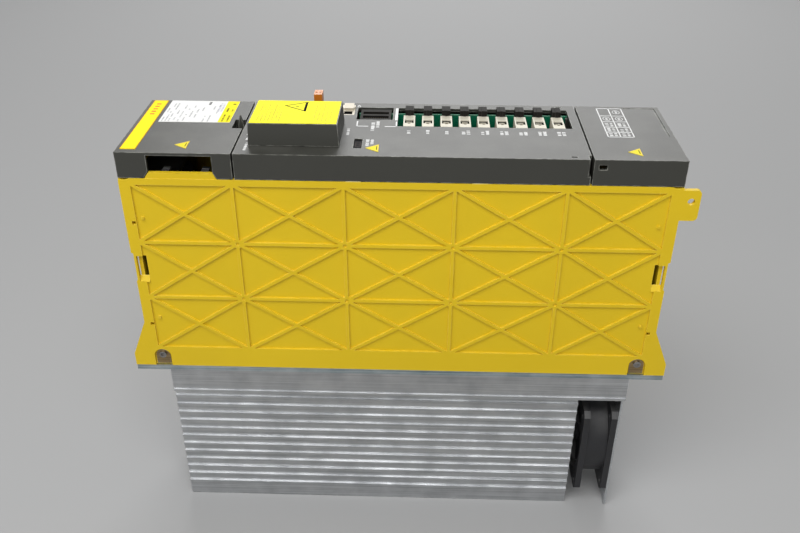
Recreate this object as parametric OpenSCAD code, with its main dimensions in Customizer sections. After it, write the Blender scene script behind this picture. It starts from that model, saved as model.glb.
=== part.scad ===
// Servo drive module: heat sink, mounting flange, moulded case, hinged covers,
// pull-out control unit and slide-out fan tray.
// X runs along the module, Y across it, +Z out of its front.
// The origin is the middle of the flange's back face.

/* [Flange and heat sink] */
// Length of the mounting flange
flange_l = 380; // [360:1:420]
// Width of the module, flange and case alike
unit_w = 90; // [84:1:110]
// Thickness of the flange
flange_t = 4; // [3:0.5:6]
// Distance between the bolt holes along the module
bolt_span_x = 366; // [364:1:368]
// Distance between the bolt holes across the module
bolt_span_y = 60; // [40:1:70]
// Radius of the bolt holes
bolt_r = 3; // [2:0.1:3.5]
// Length of the heat sink's base
sink_l = 336; // [300:1:352]
// How far each side of the heat sink lies inside the flange's edge
sink_inset = 5; // [3:0.5:10]
// Depth of the heat sink behind the flange
sink_d = 133; // [110:1:160]
// Thickness of the heat sink's base
sink_base_t = 12; // [8:1:20]
// Depth of the smooth skirt along each side
sink_skirt_d = 24; // [16:1:30]
// Number of cooling fins
fin_n = 9; // [5:1:11]
// Thickness of a fin
fin_t = 2.4; // [1.5:0.1:4]
// Distance between the ribs on the outer fins
fin_rib_pitch = 8; // [6:0.5:12]

/* [Case] */
// Length of the case between its side outlines' ends
case_l = 358.2; // [352:0.1:364]
// Height of the case's side walls above the flange's back face
case_top = 154; // [140:1:170]
// Thickness of the side walls
wall_t = 3; // [2.5:0.1:4]
// Depth of the panels between the ribs
panel_d = 1.3; // [0.5:0.1:1.6]
// Width of a rib
rib_w = 2.2; // [1.5:0.1:4]
// Number of rib fields along the case
field_n = 5; // [3:1:7]
// Number of rib fields up the case
field_rows = 3; // [2:1:4]
// Length of an inner rib field
field_pitch = 71.3; // [60:0.1:75]
// Thickness of the end walls
end_t = 2.5; // [2:0.1:4]
// How far the end walls lie inside the side walls' ends
end_inset = 3.1; // [2:0.1:6]

/* [Covers] */
// Height of the covers' top face
front_z = 172; // [165:1:185]
// Thickness of the covers' walls
cover_t = 2.2; // [1.6:0.1:3]
// X of the seam between the fan cover and the faceplate
seam_fan_x = -105; // [-110:1:-100]
// X of the seam between the faceplate and the terminal cover
seam_terminal_x = 120.5; // [119:0.5:124]
// Width of the seams
seam_w = 1.2; // [0.8:0.1:2]
// Length of the terminal window's cover
dc_cover_l = 58; // [54:1:62]
// Width of the terminal window's cover
dc_cover_w = 41.5; // [38:0.5:44]
// Height of the terminal window's cover
dc_cover_h = 14.7; // [12:0.1:18]

/* [Control unit] */
// Number of signal connectors
connector_n = 9; // [5:1:9]
// Distance between the signal connectors
connector_pitch = 12.55; // [11:0.05:12.8]
// Width of a signal connector
connector_w = 7.8; // [6:0.1:9]
// Length of a signal connector
connector_l = 19; // [16:0.5:22]
// Thickness of the circuit boards
board_t = 1.6; // [1.2:0.1:2]

/* [Fans] */
// Size of the case fans
fan_size = 60; // [50:1:60]
// Depth of the case fans
fan_depth = 25; // [15:1:28]
// Size of the heat sink's fan
sink_fan_size = 80; // [70:1:80]

/* [Hidden] */
connector_names = [for (i = [1 : connector_n]) str("signal_connector_", i)];

$fn = 48;
eps = 0.01;
// clearances: between moving bodies, round running fits, labels' thickness
gap = 0.4;
run = 0.05;
label_t = 0.25;

half_w = unit_w / 2;
case_half = case_l / 2;
end_x = case_half - end_inset;

// rib lattice on the side walls
lattice_low = 19.6;
lattice_high = case_top - 3.5;
lattice_half = case_half - 5.9;
row_pitch = (lattice_high - lattice_low) / field_rows;
inner_cols = [for (i = [1 : field_n - 1]) (i - field_n / 2) * field_pitch];
columns = concat([-lattice_half], inner_cols, [lattice_half]);

// case screws
screw_x = case_half - 9.1;
screw_z = 13.3;
screw_r = 2;
clip_z = 86;
// eyelet beside the terminal end
eye_x = case_half + 6;
eye_r = 2.3;

// covers
skirt_z = case_top + gap;
fan_hinge = [-case_half + 3.4, case_top + 5];
terminal_hinge = [case_half - 3.4, case_top + 5];
hinge_pin_r = 1.6;
// hinge posts: reach inwards from the case's side, and down from its top
post_w = wall_t + 1.6;
post_drop = 10;
hinge_sweep_r = norm([3.4, fan_hinge[1] - skirt_z]);
fan_cover_x = [-case_half, seam_fan_x - seam_w / 2];
faceplate_x = [seam_fan_x + seam_w / 2, seam_terminal_x - seam_w / 2];
terminal_cover_x = [seam_terminal_x + seam_w / 2, case_half];
cover_window_x = [-159.4, -118];
cover_window_z = [case_top + 5, front_z - 2];
notch_x = fan_cover_x[1] - 7;
notch_y = [-4, 11];
latch_z = case_top + 7;

// terminal window's cover on the faceplate
dc_x = -67.5;
dc_y = [9 - dc_cover_w, 9];
dc_hinge_y = dc_y[1] - 0.9;
dc_hinge_z = front_z + gap + 2.3;
dc_pin_r = 1.2;
// ears of its hinge, and the slots in it that clear them as it swings
dc_ear_x = dc_cover_l / 2 - 7;
dc_ear_w = 2.4;
dc_ear_r = 2;
dc_slot_r = norm([dc_ear_r, dc_ear_r]) + gap;
dc_window_x = [dc_x - 24.5, dc_x + 24.5];
dc_window_y = [-28, 4];

// control board stands upright behind the faceplate, its connectors on one side
board_y = 31.5;
board_x = [-67, faceplate_x[1] - 4];
board_low = 44;
board_high = front_z - cover_t - gap;
board_step_x = -30;
board_step_z = case_top - 4;
connector_x0 = 5.1;
connector_y = 4;
connector_base_z = case_top - 4;
shell_t = 0.9;
mouth_y = connector_y + 5.6;
mouth_l = 6.4;
mouth_depth = 12;
slot_x = [-2.8, 114];
slot_y = [connector_y - 0.5, 36.5];
bus_x = [-28.6, -7.6];
bus_slot_x = [-31, -6.2];
bus_slot_y = [14.5, 36.5];
monitor_x = [-42, -33];
monitor_y = [23, 41];
plug_x = -57.7;
plug_w = 5.6;
plug_y = [25, 34];
plug_top = front_z + 13.4;
header_wall = 1.6;
window_x = [-29.7, -24.3];
window_y = [-33.3, -18.2];
hook_slot_x = [107, 111];

// power stage
module_l = 94;
module_w = 50;
module_h = 24;
module_xs = [-112, -6];
module_y = -3;
power_z = flange_t + module_h + 2;
power_x = [-140, 118];
power_y = [-38, 26];
standoff_r = 3;
standoff_xs = [-132, -10, 110];
standoff_ys = [-33.5, 21.5];
cap_r = 22;
cap_h = 84;
cap_xs = [-8, 42, 92];
cap_y = -6;
pillar_r = 5;
dc_block_z = [case_top - 4, front_z + 4];
pillar_xs = [dc_x - 19, dc_x + 19];
bar_xs = [dc_x - 8, dc_x + 8];
dc_block_y = -12;
ledge_z = 102;
block_x = [126, 156];
block_h = 26;
terminal_n = 6;
terminal_pitch = 12.6;

// fan tray, its opening in the end wall and the fans
tray_half = fan_size / 2 + 2.6;
tray_low = 20.4;
tray_rail = 2;
tray_mid = 3.2;
tray_h = 2 * fan_size + 2 * tray_rail + tray_mid;
tray_plate_t = 2;
fan_x = -end_x + tray_plate_t;
fan_z_a = tray_low + tray_rail + fan_size / 2;
fan_z_b = fan_z_a + fan_size + tray_mid;
sink_fan_depth = 25;
sink_fan_x = sink_l / 2 - 3 - sink_fan_depth;
sink_fan_z = -(sink_skirt_d + sink_d) / 2;
bracket_t = 1.5;

// ---- shared shapes ----

// A box given by its low and high corners
module span(low, high) {
    translate(low) cube(high - low);
}

// The same shape on the near side and on the far side
module both_sides() {
    children();
    mirror([0, 1, 0]) children();
}

// A flat outline in X and Z, extruded from y0 to y1
module slab_y(y0, y1) {
    translate([0, y1, 0]) rotate([90, 0, 0]) linear_extrude(y1 - y0) children();
}

// A flat outline in Y and Z, extruded from x0 to x1
module slab_x(x0, x1) {
    translate([x0, 0, 0]) rotate([90, 0, 90]) linear_extrude(x1 - x0) children();
}

// A cylinder along Y
module rod_y(x, z, y0, y1, r) {
    translate([x, y0, z]) rotate([-90, 0, 0]) cylinder(r = r, h = y1 - y0);
}

// A cylinder along X
module rod_x(y, z, x0, x1, r) {
    translate([x0, y, z]) rotate([0, 90, 0]) cylinder(r = r, h = x1 - x0);
}

// A 2-D box with rounded corners
module round_rect(low, high, r) {
    translate([low[0] + r, low[1]]) square([high[0] - low[0] - 2 * r, high[1] - low[1]]);
    translate([low[0], low[1] + r]) square([high[0] - low[0], high[1] - low[1] - 2 * r]);
    for (x = [low[0] + r, high[0] - r], y = [low[1] + r, high[1] - r])
        translate([x, y]) circle(r);
}

// A 2-D square with its corners cut off, from its half size and the cut
module cropped_square(half, cut) {
    polygon([[half, half - cut], [half - cut, half], [cut - half, half], [-half, half - cut],
        [-half, cut - half], [cut - half, -half], [half - cut, -half], [half, cut - half]]);
}

// A 2-D bar from point a to point b
module bar(a, b, w) {
    d = b - a;
    translate(a) rotate(atan2(d[1], d[0])) translate([0, -w / 2]) square([norm(d), w]);
}

// Screw with a cylindrical head and a hexagon socket, head up, seat at z = 0
module socket_screw(r, length, head_r, head_h) {
    translate([0, 0, -length]) cylinder(r = r, h = length + eps);
    difference() {
        cylinder(r = head_r, h = head_h);
        translate([0, 0, head_h * 0.35]) cylinder(r = head_r * 0.55, h = head_h, $fn = 6);
    }
}

// Screw with a round head and a cross recess, head up, seat at z = 0
module cross_screw(r, length, head_r, head_h) {
    translate([0, 0, -length]) cylinder(r = r, h = length + eps);
    difference() {
        cylinder(r = head_r, h = head_h);
        for (a = [0, 90]) rotate(a)
            translate([-head_r * 0.6, -head_r * 0.13, head_h * 0.4])
                cube([head_r * 1.2, head_r * 0.26, head_h]);
    }
}

// Square axial fan frame, air along X, from x = 0 to x = depth
module fan_frame(size, depth) {
    bore = size * 0.46;
    hub = size * 0.21;
    difference() {
        slab_x(0, depth) difference() {
            cropped_square(size / 2, size * 0.05);
            circle(bore, $fn = 96);
            for (y = [-1, 1], z = [-1, 1])
                translate([y, z] * size * 0.415) circle(size * 0.027);
        }
        slab_x(depth * 0.18, depth * 0.82) difference() {
            square(size + 1, center = true);
            circle(size * 0.49, $fn = 96);
        }
    }
    // motor seat on three struts
    rod_x(0, 0, depth - 3, depth - 0.3, hub);
    for (a = [30, 150, 270]) rotate([a, 0, 0])
        span([depth - 2.5, 0, -size * 0.025], [depth, bore + 1, size * 0.025]);
    rod_x(0, 0, 4, depth - 2.4, 1.5);
}

// Outline of a finger guard: two crossed bars out to a reach, and rings
module finger_guard(reach, rings) {
    for (a = [45, 135]) rotate(a) square([2 * reach, 1.6], center = true);
    for (r = rings) difference() {
        circle(r + 0.8, $fn = 96);
        circle(r - 0.8, $fn = 96);
    }
}

// Fan rotor with seven pitched blades, in the same place as its frame
module fan_rotor(size, depth) {
    hub = size * 0.2;
    tip = size * 0.445;
    difference() {
        union() {
            rod_x(0, 0, 1.5, depth - 4, hub);
            intersection() {
                for (i = [0 : 6]) rotate([i * 360 / 7, 0, 0])
                    translate([depth / 2 - 1, 0, hub - 1]) rotate([0, 0, 38])
                        translate([-depth * 0.42, -0.8, 0]) cube([depth * 0.84, 1.6, tip]);
                difference() {
                    rod_x(0, 0, 2, depth - 4.5, tip);
                    rod_x(0, 0, 0, depth, hub - 1);
                }
            }
        }
        rod_x(0, 0, 3, depth, 1.5 + run);
    }
}

// ---- case ----

// Outline of a side wall: straight up, flared feet at both ends
module wall_outline() {
    foot_x = flange_l / 2 + 0.4;
    for (side = [0, 1]) mirror([side, 0])
        polygon([[-1, flange_t], [foot_x, flange_t], [foot_x, 14], [case_half, 42],
            [case_half, clip_z - 10], [case_half - 0.9, clip_z - 9],
            [case_half - 0.9, clip_z + 12], [case_half + 0.4, clip_z + 12.6],
            [case_half + 0.4, case_top - 3], [case_half, case_top], [-1, case_top]]);
}

// The rib lattice: columns, rows, crossed diagonals and a hub at each crossing
module rib_lattice() {
    for (x = columns) bar([x, lattice_low], [x, lattice_high], rib_w);
    for (r = [0 : field_rows]) {
        z = lattice_low + r * row_pitch;
        bar([-lattice_half, z], [lattice_half, z], rib_w);
    }
    for (c = [0 : field_n - 1], r = [0 : field_rows - 1]) {
        low = [columns[c], lattice_low + r * row_pitch];
        high = [columns[c + 1], low[1] + row_pitch];
        bar(low, high, rib_w);
        bar([low[0], high[1]], [high[0], low[1]], rib_w);
    }
    for (x = inner_cols, r = [1 : field_rows - 1])
        translate([x, lattice_low + r * row_pitch]) circle(3.2);
}

// One side wall, its outer face at y = 0 and its inner face at y = wall_t
module side_wall() {
    difference() {
        slab_y(0, wall_t) wall_outline();
        // panels between the ribs
        slab_y(-1, panel_d) difference() {
            translate([-lattice_half, lattice_low])
                square([2 * lattice_half, lattice_high - lattice_low]);
            rib_lattice();
        }
        for (x = inner_cols, r = [1 : field_rows - 1])
            rod_y(x, lattice_low + r * row_pitch, -1, 0.8, 1.3);
        for (side = [-1, 1]) {
            // clip slots, square holes and screw pockets
            slab_y(-1, wall_t + 1) translate([side * (case_half - 5.7), clip_z])
                square([6.7, 20], center = true);
            slab_y(-1, wall_t + 1) translate([side * (case_half - 5.5), 40.5])
                square(2.6, center = true);
            slab_y(-1, 2) translate([side * screw_x, 0]) screw_pocket();
            rod_y(side * screw_x, screw_z, 0, wall_t + 1, screw_r + 0.3);
        }
        slab_y(-1, wall_t + 1) translate([-case_half + 5.3, 121.5]) square(2.6, center = true);
    }
    for (side = [-1, 1]) {
        // sloping lip under each clip slot, and the wall's own ledge in the foot
        translate([side * (case_half - 5.7), 0, clip_z - 10]) rotate([90, 0, 90])
            translate([0, 0, -3.3]) linear_extrude(6.6)
                polygon([[0.2, -0.5], [wall_t, -0.5], [wall_t, 3.5]]);
        for (z = [46, 125]) rod_y(side * (case_half - 11.4), z, 0, 1.4, 1);
    }
}

// Arched recess for a case screw, open at the bottom
module screw_pocket() {
    translate([-6, 0]) square([12, screw_z - 1]);
    translate([0, screw_z - 1]) circle(6);
}

// Post on the near side wall that carries a cover's hinge pin, h = [x, z]
module hinge_post(h) {
    span([h[0] - 2.2, -half_w + wall_t - eps, case_top - post_drop],
        [h[0] + 2.2, -half_w + post_w, h[1] + 2.4]);
    rod_y(h[0], h[1], -half_w + post_w - 0.1, -half_w + 9.4, hinge_pin_r);
}

// What a hinged cover adds round its pins, h = [x, z]
module hinge_eyes(h) {
    both_sides() {
        rod_y(h[0], h[1], half_w - 9, half_w - 5, 3.2);
        span([h[0] - 2, half_w - 9, h[1]], [h[0] + 2, half_w - 5, front_z - 1]);
    }
}

// What a hinged cover loses round its pins and posts, out = -1 or 1 to its end
module hinge_cuts(h, out) {
    both_sides() {
        rod_y(h[0], h[1], half_w - 10, half_w - 4, hinge_pin_r + run);
        span([min(h[0] - out * 4, h[0] + out * 8), half_w - 5, skirt_z - 1],
            [max(h[0] - out * 4, h[0] + out * 8), half_w - cover_t, h[1] + 3.2]);
    }
}

// A whole side, placed on the near side: wall, hinge posts, the terminal block's
// ledge and whatever the children add
module side_shell() {
    difference() {
        union() {
            translate([0, -half_w, 0]) side_wall();
            span([block_x[0], -half_w + wall_t - eps, ledge_z - 4],
                [block_x[1], -half_w + wall_t + 3, ledge_z]);
            for (h = [fan_hinge, terminal_hinge]) hinge_post(h);
            children();
        }
        // relief for the covers' corners as they swing
        for (h = [fan_hinge, terminal_hinge])
            rod_y(h[0], h[1], -half_w - 1, -half_w + wall_t, hinge_sweep_r + gap);
    }
}

// The near side, with the tongue under the fan cover's window and the eyelet
module side_wall_near() {
    tongue_top = case_top + 4;
    color("gold") difference() {
        side_shell() {
            translate([0, -half_w, 0]) slab_y(0.3, wall_t)
                polygon([[cover_window_x[0] - 3.4, case_top - 1],
                    [cover_window_x[0] - 0.1, tongue_top],
                    [cover_window_x[1], tongue_top],
                    [cover_window_x[1] + 2.4, case_top - 1]]);
            translate([0, -half_w, 0]) slab_y(0, wall_t)
                round_rect([case_half - 3, case_top - 23.7], [eye_x + 5.7, case_top - 2], 3);
        }
        rod_y(eye_x, case_top - 10.1, -half_w - 1, -half_w + wall_t + 1, eye_r);
    }
}

module side_wall_far() {
    color("gold") mirror([0, 1, 0]) side_shell();
}

// End wall from x0 to x1, butted between the side walls and cut away round their
// hinge posts
module end_wall(x0, x1) {
    difference() {
        span([x0, -half_w + wall_t, flange_t], [x1, half_w - wall_t, case_top - 2]);
        both_sides() span([x0 - 1, half_w - post_w, case_top - post_drop],
            [x1 + 1, half_w, case_top]);
    }
}

module fan_end_wall() {
    color("gold") difference() {
        end_wall(-end_x, -end_x + end_t);
        // opening for the fan tray
        span([-end_x - 1, -tray_half - gap, tray_low - gap],
            [-end_x + end_t + 1, tray_half + gap, tray_low + tray_h + gap]);
    }
}

module terminal_end_wall() {
    color("gold") difference() {
        end_wall(end_x - end_t, end_x);
        // outlet for the power cables
        span([end_x - end_t - 1, -half_w + 9, ledge_z + 2], [end_x + 1, half_w - 9, case_top]);
        // cooling slots
        for (i = [0 : 6]) translate([end_x - end_t - 1, (i - 3) * 10 - 2, 26])
            cube([end_t + 2, 4, 56]);
    }
}

module case_washers() {
    color("darkgoldenrod")
        for (end = [-1, 1]) both_sides()
            translate([end * screw_x, -half_w + 1.2, 0]) slab_y(0, 0.8) difference() {
                union() {
                    translate([-5, flange_t + 1]) square([10, screw_z - flange_t - 2]);
                    translate([0, screw_z - 1]) circle(5);
                }
                translate([0, screw_z]) circle(screw_r + 0.3);
            }
}

module case_screws() {
    color("dimgray")
        for (end = [-1, 1]) both_sides()
            translate([end * screw_x, -half_w + 1.2, screw_z]) rotate([90, 0, 0])
                socket_screw(screw_r, 9, 2.6, 1.2);
}

// ---- flange and heat sink ----

module mounting_flange() {
    ear_y = half_w - wall_t;
    color("lightsteelblue") difference() {
        union() {
            span([-flange_l / 2, -half_w, 0], [flange_l / 2, half_w, flange_t]);
            // ears that the case screws hold
            for (end = [-1, 1]) both_sides()
                mirror([end > 0 ? 0 : 1, 0, 0])
                    span([screw_x - 5, -ear_y, flange_t - eps], [end_x - end_t - 0.3,
                        -ear_y + 3, screw_z + 6]);
        }
        for (x = [-1, 1], y = [-1, 1])
            translate([x * bolt_span_x / 2, y * bolt_span_y / 2, -1])
                cylinder(r = bolt_r, h = flange_t + 2);
        for (x = [-screw_x, screw_x])
            rod_y(x, screw_z, -half_w, half_w, screw_r + run);
    }
}

// Cross-section of the heat sink in Y and Z
module sink_profile() {
    half = half_w - sink_inset;
    fin_pitch = (2 * half - 5.6 - fin_t) / (fin_n - 1);
    rib_n = floor((sink_d - sink_skirt_d - 6) / fin_rib_pitch);
    translate([-half, -sink_base_t]) square([2 * half, sink_base_t]);
    for (side = [0, 1]) mirror([side, 0]) {
        translate([half - 1.8, -sink_skirt_d]) square([1.8, sink_skirt_d]);
        // beaded lower edge of the skirt
        translate([half - 2.2, -sink_skirt_d]) square([3, 2]);
        // ribs along the outer fin
        for (i = [0 : rib_n - 1])
            translate([half - 3.2, -sink_skirt_d - 8 - i * fin_rib_pitch]) square([1.6, 2]);
    }
    for (i = [0 : fin_n - 1])
        translate([-half + 2.8 + i * fin_pitch, -sink_d])
            square([fin_t, sink_d - sink_base_t + eps]);
}

module heatsink() {
    fins_end = sink_fan_x - 6;
    color("silver") difference() {
        slab_x(-sink_l / 2, sink_l / 2) sink_profile();
        // room for the fan at the terminal end
        span([fins_end, -half_w, -sink_d - 1], [sink_l / 2 + 1, half_w, -sink_skirt_d]);
        span([fins_end, -half_w + sink_inset + 2.5, -sink_skirt_d - 1],
            [sink_l / 2 + 1, half_w - sink_inset - 2.5, -sink_base_t]);
    }
}

module heatsink_fan_bracket() {
    x0 = sink_l / 2 - 3;
    half = half_w - sink_inset;
    color("lightgray") {
        difference() {
            span([x0, -half, -sink_d + 1], [x0 + bracket_t, half, -sink_skirt_d]);
            rod_x(0, sink_fan_z, x0 - 1, x0 + 3, sink_fan_size * 0.46);
        }
        translate([0, 0, sink_fan_z]) slab_x(x0 + 0.2, x0 + bracket_t - 0.2)
            finger_guard(sink_fan_size * 0.465, [10, 19, 28]);
    }
}

module heatsink_fan_frame() {
    color("#202022") translate([sink_fan_x + sink_fan_depth, 0, sink_fan_z])
        rotate(180) fan_frame(sink_fan_size, sink_fan_depth);
}

module heatsink_fan_rotor() {
    color("#303034") translate([sink_fan_x + sink_fan_depth, 0, sink_fan_z])
        rotate(180) fan_rotor(sink_fan_size, sink_fan_depth);
}

// ---- power stage ----

module igbt_modules() {
    color("#e8e4da") for (x = module_xs) {
        difference() {
            span([x, module_y - module_w / 2, flange_t],
                [x + module_l, module_y + module_w / 2, flange_t + module_h - 6]);
            for (end = [5, module_l - 5]) translate([x + end, module_y, flange_t - 1])
                cylinder(r = 2.6, h = module_h);
        }
        span([x + 11, module_y - module_w / 2 + 6, flange_t + module_h - 6 - eps],
            [x + module_l - 11, module_y + module_w / 2 - 6, power_z]);
    }
}

module igbt_screws() {
    color("silver") for (x = module_xs, end = [5, module_l - 5])
        translate([x + end, module_y, flange_t + module_h - 6])
            cross_screw(2.5, module_h - 6, 4.2, 2.6);
}

module board_standoffs() {
    color("darkkhaki") for (x = standoff_xs, y = standoff_ys) {
        translate([x, y, flange_t]) cylinder(r = standoff_r, h = power_z - flange_t);
        translate([x, y, power_z]) cylinder(r = 1.5, h = board_t);
        translate([x, y, power_z + board_t]) cylinder(r = 2.8, h = 2);
    }
}

module power_board() {
    color("darkgreen") difference() {
        span([power_x[0], power_y[0], power_z], [power_x[1], power_y[1], power_z + board_t]);
        for (x = standoff_xs, y = standoff_ys)
            translate([x, y, power_z - 1]) cylinder(r = 1.6, h = board_t + 2);
    }
}

module capacitors() {
    z = power_z + board_t;
    color("#2a2d33") for (x = cap_xs) translate([x, cap_y, z]) {
        cylinder(r = cap_r, h = cap_h);
        translate([0, 0, cap_h]) cylinder(r = cap_r - 2.5, h = 0.8);
        // rolled groove's bead near the foot
        translate([0, 0, 6]) rotate_extrude() translate([cap_r - 0.4, 0]) circle(0.8, $fn = 16);
    }
}

module current_sensors() {
    z = power_z + board_t;
    color("#1d1d20") for (x = [-128, -108]) translate([x, -18, z]) difference() {
        translate([-8, -12, 0]) cube([16, 24, 22]);
        rod_y(0, 13, -13, 13, 5);
    }
}

module relay() {
    z = power_z + board_t;
    color("#e9e6df") span([-126, 2, z], [-98, 18, z + 28]);
}

module dc_pillars() {
    z = power_z + board_t;
    color("#8b2f23") for (x = pillar_xs) translate([x, dc_block_y, z])
        cylinder(r = pillar_r, h = dc_block_z[0] - z);
}

module dc_bus_bars() {
    z = power_z + board_t;
    color("peru") for (x = bar_xs) {
        span([x - 6, dc_block_y - 1.5, z], [x + 6, dc_block_y + 1.5, dc_block_z[0]]);
        difference() {
            span([x - 6, dc_block_y - 11, dc_block_z[1] - 4], [x + 6, dc_block_y + 11,
                dc_block_z[1] - 2]);
            translate([x, dc_block_y, dc_block_z[1] - 5]) cylinder(r = 3, h = 5);
        }
    }
}

module dc_terminal_block() {
    color("#26262a") difference() {
        span([dc_x - 23, dc_block_y - 14, dc_block_z[0]], [dc_x + 23, dc_block_y + 14,
            dc_block_z[1]]);
        // one channel for each bar, and the screws' threaded holes
        for (x = bar_xs) {
            span([x - 6.8, dc_block_y - 15, dc_block_z[1] - 4],
                [x + 6.8, dc_block_y + 15, dc_block_z[1] + 1]);
            translate([x, dc_block_y, dc_block_z[1] - 18]) cylinder(r = 3, h = 18);
        }
    }
}

module dc_terminal_screws() {
    color("silver") for (x = bar_xs) translate([x, dc_block_y, dc_block_z[1] - 2])
        cross_screw(3, 14, 5.5, 3.4);
}

module terminal_block() {
    half = half_w - wall_t;
    color("#2b2b2e") difference() {
        span([block_x[0], -half, ledge_z], [block_x[1], half, ledge_z + block_h]);
        for (i = [0 : terminal_n - 1]) {
            y = (i - (terminal_n - 1) / 2) * terminal_pitch;
            span([block_x[0] - 1, y - terminal_pitch / 2 + 1, ledge_z + block_h - 10],
                [block_x[1] + 1, y + terminal_pitch / 2 - 1, ledge_z + block_h + 1]);
            translate([(block_x[0] + block_x[1]) / 2, y, ledge_z + 2])
                cylinder(r = 2.5, h = block_h);
        }
    }
}

module terminal_screws() {
    color("silver") for (i = [0 : terminal_n - 1])
        translate([(block_x[0] + block_x[1]) / 2, (i - (terminal_n - 1) / 2) * terminal_pitch,
            ledge_z + block_h - 10])
            cross_screw(2.5, 12, 4.6, 3.2);
}

// Two flat tabs on the near wall's tongue, seen through the fan cover's window
module window_tabs() {
    top = case_top + 4;
    color("#26262a") for (x = [-149.3, -124])
        span([x - 2.4, -half_w + wall_t, top - 1], [x + 2.4, -half_w + wall_t + 7.6, top]);
}

// ---- fan tray ----

module fan_tray() {
    color("#3a3a3d") difference() {
        union() {
            span([-end_x, -tray_half, tray_low], [-end_x + tray_plate_t, tray_half,
                tray_low + tray_h]);
            for (z = [tray_low, tray_low + tray_rail + fan_size,
                tray_low + tray_h - tray_rail])
                span([-end_x, -fan_size / 2, z], [fan_x + fan_depth + 2, fan_size / 2,
                    z + (z == tray_low + tray_rail + fan_size ? tray_mid : tray_rail)]);
        }
        for (z = [fan_z_a, fan_z_b])
            rod_x(0, z, -end_x - 1, fan_x + 1, fan_size * 0.44);
    }
}

module fan_guards() {
    x0 = -end_x + tray_plate_t / 2;
    color("silver") for (z = [fan_z_a, fan_z_b]) translate([0, 0, z])
        slab_x(x0 - 0.6, x0 + 0.6) finger_guard(fan_size * 0.44 - 0.1, [8.4, 16.2]);
}

module fan_frame_at(z) {
    translate([fan_x, 0, z]) fan_frame(fan_size, fan_depth);
}

module fan_rotor_at(z) {
    translate([fan_x, 0, z]) fan_rotor(fan_size, fan_depth);
}

// ---- covers ----

// A grey cover over an X range: top plate with skirts, open below
module cover_shell(x) {
    difference() {
        span([x[0], -half_w, skirt_z], [x[1], half_w, front_z]);
        span([x[0] + cover_t, -half_w + cover_t, skirt_z - 1],
            [x[1] - cover_t, half_w - cover_t, front_z - cover_t]);
    }
}

module fan_cover() {
    wx = cover_window_x;
    wz = cover_window_z;
    color("#56574f") difference() {
        union() {
            cover_shell(fan_cover_x);
            // walls of the latch notch
            span([notch_x - cover_t, notch_y[0] - cover_t, skirt_z + 3],
                [fan_cover_x[1], notch_y[1] + cover_t, front_z]);
            hinge_eyes(fan_hinge);
        }
        // side window, wider at its foot
        translate([0, -half_w, 0]) slab_y(-1, cover_t + eps)
            polygon([[wx[0], wz[0]], [wx[0], wz[1]], [wx[1], wz[1]], [wx[1], wz[0]],
                [wx[1] + 2.9, skirt_z - 1], [wx[0] - 3.9, skirt_z - 1]]);
        span([notch_x, notch_y[0], skirt_z - 1], [fan_cover_x[1] + 1, notch_y[1], front_z + 1]);
        hinge_cuts(fan_hinge, -1);
        // grooves that guide the latch
        span([notch_x + 0.4, notch_y[0] - 1.4, latch_z - 1.4],
            [notch_x + 5.6, notch_y[1] + 1.4, latch_z + 1.4]);
    }
}

module strip_label() {
    color("yellow") span([fan_cover_x[0] + 2.4, -40.2, front_z],
        [fan_cover_x[0] + 12.6, 44, front_z + label_t]);
}

module rating_plate() {
    color("white") span([fan_cover_x[0] + 15.1, 5, front_z],
        [fan_cover_x[0] + 63.5, 44, front_z + label_t]);
}

// Plain warning triangle that points towards the near side's opposite
module triangle_mark(x, y, size) {
    color("gold") translate([x, y, front_z]) linear_extrude(label_t)
        polygon([[-size * 0.8, 0], [0, -size * 0.56], [0, size * 0.56]]);
}

module fan_cover_mark() {
    triangle_mark(-135, -32.4, 10.6);
}

module cover_latch() {
    color("#56574f") {
        // pressed plate with a guide bar through it and a pointed fin above it
        span([notch_x + 3, notch_y[0] - 1, latch_z - 1], [notch_x + 5.2, notch_y[1] + 1,
            latch_z + 1]);
        span([notch_x + gap + 2.4, notch_y[0] + gap, skirt_z + 1],
            [fan_cover_x[1] - gap, notch_y[1] - gap, front_z - 5]);
        translate([notch_x + gap + 2.4, 0, 0]) slab_y(4.2, 6.4)
            polygon([[0, front_z - 6], [4, front_z - 6], [3.8, front_z - 1],
                [2, front_z + 5.6], [1.6, front_z + 5.6], [0.2, front_z - 1]]);
    }
}

// Outline of the connector slot's straight-sided openings in X and Y
module faceplate_openings() {
    translate([dc_window_x[0], dc_window_y[0]])
        square([dc_window_x[1] - dc_window_x[0], dc_window_y[1] - dc_window_y[0]]);
    translate([slot_x[0], slot_y[0]])
        square([slot_x[1] - slot_x[0], slot_y[1] - slot_y[0]]);
    translate([bus_slot_x[0], bus_slot_y[0]])
        square([bus_slot_x[1] - bus_slot_x[0], bus_slot_y[1] - bus_slot_y[0]]);
    translate([monitor_x[0] - gap, monitor_y[0] - gap])
        square([monitor_x[1] - monitor_x[0] + 2 * gap, monitor_y[1] - monitor_y[0] + 2 * gap]);
    translate([plug_x - plug_w / 2 - header_wall - gap, plug_y[0] - header_wall - gap])
        square([plug_w + 2 * header_wall + 2 * gap,
            plug_y[1] - plug_y[0] + 2 * header_wall + 2 * gap]);
    translate([window_x[0], window_y[0]])
        square([window_x[1] - window_x[0], window_y[1] - window_y[0]]);
    for (side = [-1, 1]) translate([hook_slot_x[0], side * (half_w - 3.4) - 0.7])
        square([hook_slot_x[1] - hook_slot_x[0], 1.4]);
}

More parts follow.
